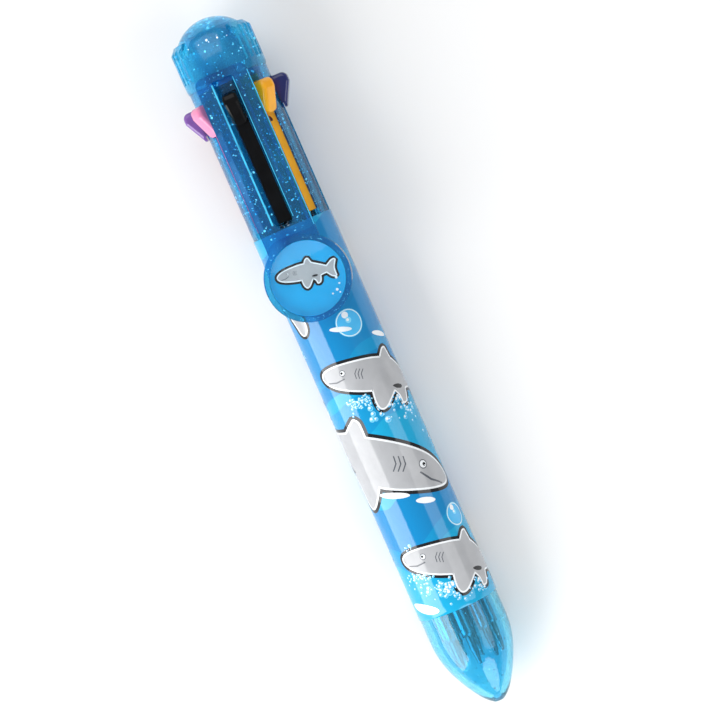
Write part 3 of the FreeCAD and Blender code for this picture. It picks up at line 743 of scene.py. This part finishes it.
for label, material, share in (("white", SPARK_WHITE, 1.0), ("cyan", SPARK_CYAN, 1.3)):
    bars = in_shell(int(250 * share), 102.2, 132.4, lambda x: (7.1, 7.85), off_slots)
    flakes("barrel_glitter_" + label, bars, material, "pen")
    flakes("crown_glitter_" + label, in_shell(int(130 * share), 133.5, 140.8, lambda x: (7.45, 7.95)),
           material, "pen")
    flakes("dome_glitter_" + label, in_shell(int(45 * share), 142.25, 143.9, lambda x: (0.2, 4.4)),
           material, "pen")
    flakes("nose_glitter_" + label, in_shell(int(60 * share), 3.5, 20.2, nose_wall),
           material, "pen", 0.07, 0.15)
flakes("nose_glitter_dark", in_shell(190, 2.6, 20.2, nose_wall), SPARK_DARK, "pen", 0.08, 0.19)


def clip_under(x):
    """Height of the clip strip's inner face, which slopes away from the barrel towards the badge."""
    return 8.55 + (134.0 - x) * 0.95 / 35.5


def in_clip(count):
    """Random places in the clip strip, outside its slot."""
    out = []
    while len(out) < count:
        x, y = random.uniform(100.0, 133.4), random.uniform(-4.9, 4.9)
        if 101.0 < x < 132.8 and abs(y) < 2.35:
            continue
        out.append((x, y, clip_under(x) + random.uniform(0.2, 1.2)))
    return out


def in_cup(count):
    """Random places in the badge cup's wall."""
    out = []
    while len(out) < count:
        a, r = random.uniform(0, 2 * math.pi), random.uniform(7.6, 8.25)
        out.append((BADGE_MIDDLE + r * math.cos(a), r * math.sin(a), random.uniform(9.7, 11.8)))
    return out


flakes("clip_glitter_white", in_clip(100), SPARK_WHITE, "clip_arm", 0.05, 0.28)
flakes("clip_glitter_cyan", in_clip(140), SPARK_CYAN, "clip_arm", 0.05, 0.24)
flakes("cup_glitter", in_cup(90), SPARK_WHITE, "clip_arm", 0.05, 0.12)


# Painted highlights: thin opaque strips, lighter than the clear clip, lie on its outer face along its slot
# and down its right side and stand in for its bright edges; their raised middles also catch real lamp glints.
CLIP_THICK = 1.4


def clip_highlight_strip(y_near, y_far, x_low, x_high, steps=24):
    """A thin strip lying on the clip's outer face, a painted edge highlight with a raised middle; returns its
    corners and faces.
    """
    verts, faces = [], []
    for i in range(steps + 1):
        x = x_low + (x_high - x_low) * i / steps
        top = clip_under(x) + CLIP_THICK
        verts += [(x, y_near, top + 0.004), (x, (y_near + y_far) / 2, top + 0.035), (x, y_far, top + 0.004)]
    for i in range(steps):
        for k in (0, 1):
            a = 3 * i + k
            faces.append((a, a + 3, a + 4, a + 1))
    return verts, faces


# Painted highlight: opaque plastic, lighter than the clear clip, for the bright edge lines.
EDGE_HIGHLIGHT = gloss_plastic("Painted clip edge highlight", (0.05, 0.50, 0.82), 0.25, 0.10)
for label, *place in (("left", 2.40, 2.07, 102.8, 132.0),
                      ("right", -2.07, -2.20, 103.0, 132.0),
                      ("outer_right", -5.14, -5.28, 100.0, 132.2)):
    piece("clip_highlight_strip_" + label, clip_highlight_strip(*place), EDGE_HIGHLIGHT, "clip_arm")


# ---------------------------------------------------------------- floor, light and camera
n = Nodes("Floor")
floor_bsdf = n.add("BsdfPrincipled", Roughness=0.9)
floor_bsdf.inputs["Base Color"].default_value = (0.90, 0.90, 0.90, 1)
n.link(floor_bsdf.outputs[0], n.out.inputs["Surface"])
# The floor passes just under the sleeve's lower end and the rear slider's button: (x, depth under the axis).
LOW_REST, HIGH_REST = (18.0, 8.27), (127.0, 11.12)


def floor_height(x):
    drop = (HIGH_REST[1] - LOW_REST[1]) / (HIGH_REST[0] - LOW_REST[0])
    return (-LOW_REST[1] - drop * (x - LOW_REST[0])) * MM


mesh = bpy.data.meshes.new("floor")
half = 1.5
mesh.from_pydata([(x, y, floor_height(x / MM)) for x, y in
                  ((-half, -half), (half, -half), (half, half), (-half, half))], [], [(0, 1, 2, 3)])
mesh.materials.append(n.mat)
floor = bpy.data.objects.new("floor", mesh)
bpy.context.scene.collection.objects.link(floor)

world = bpy.data.worlds.new("World")
world.use_nodes = True
world.node_tree.nodes["Background"].inputs["Color"].default_value = (1.0, 1.0, 1.0, 1)
world.node_tree.nodes["Background"].inputs["Strength"].default_value = 0.36
bpy.context.scene.world = world

ROLL = math.radians(90 + 23.67)
lean = math.radians(2.9)
back = Vector((
    math.sin(lean), -math.sin(CAMERA_SIDE) * math.cos(lean), math.cos(CAMERA_SIDE) * math.cos(lean)))
e = Vector((1, 0, 0)) - back * back.x
e.normalize()
f = back.cross(e)
right = e * math.cos(ROLL) - f * math.sin(ROLL)
up = e * math.sin(ROLL) + f * math.cos(ROLL)
target = Vector((0.0721, -0.00165, 0.0))


def aim(ob, place, toward, top):
    """Puts an object at a place with its -Z axis towards a point and its Y axis near top."""
    z = (place - toward).normalized()
    x = top.cross(z).normalized()
    y = z.cross(x)
    ob.matrix_world = Matrix((
        (x.x, y.x, z.x, place.x), (x.y, y.y, z.y, place.y), (x.z, y.z, z.z, place.z), (0, 0, 0, 1)))


cam_data = bpy.data.cameras.new("Camera")
cam_data.lens = 150.0
cam_data.sensor_width = 36.0
cam_data.clip_start, cam_data.clip_end = 0.01, 20
camera = bpy.data.objects.new("Camera", cam_data)
bpy.context.scene.collection.objects.link(camera)
aim(camera, target + back * 0.585, target, up)
bpy.context.scene.camera = camera


def lamp(name, turn, along, far, size_x, size_y, glow, shape="RECTANGLE"):
    """An area lamp beside the pen.

    turn is degrees round the pen from its front, positive towards -Y; along is its place along X, far its
    distance from the axis, size_y its length along X and glow its radiance.
    """
    data = bpy.data.lights.new(name, "AREA")
    data.shape = shape
    data.size, data.size_y = size_x, size_y
    data.energy = glow * math.pi * size_x * size_y
    ob = bpy.data.objects.new(name, data)
    bpy.context.scene.collection.objects.link(ob)
    a = math.radians(turn)
    side_way = Vector((0, -math.sin(a), math.cos(a)))
    spot = Vector((along, 0, 0)) + side_way * far
    aim(ob, spot, spot - side_way, Vector((1, 0, 0)))
    return ob


lamp("Left softbox", -61.0, -0.20, 0.60, 0.60, 0.58, 5.2)
lamp("Right softbox", 47.0, -0.19, 0.60, 0.37, 0.44, 1.9)
tip_lamp = lamp("Tip lamp", 30.0, -0.45, 0.25, 0.34, 0.34, 2.8, "ELLIPSE")
aim(tip_lamp, tip_lamp.location, Vector((0.006, 0, 0)), Vector((0, 1, 0)))
cap_lamp = lamp("Cap end lamp", -8.0, 0.75, 0.70, 1.1, 1.1, 1.25)
aim(cap_lamp, cap_lamp.location, target, Vector((0, 1, 0)))
bpy.context.scene.view_settings.view_transform = "Standard"
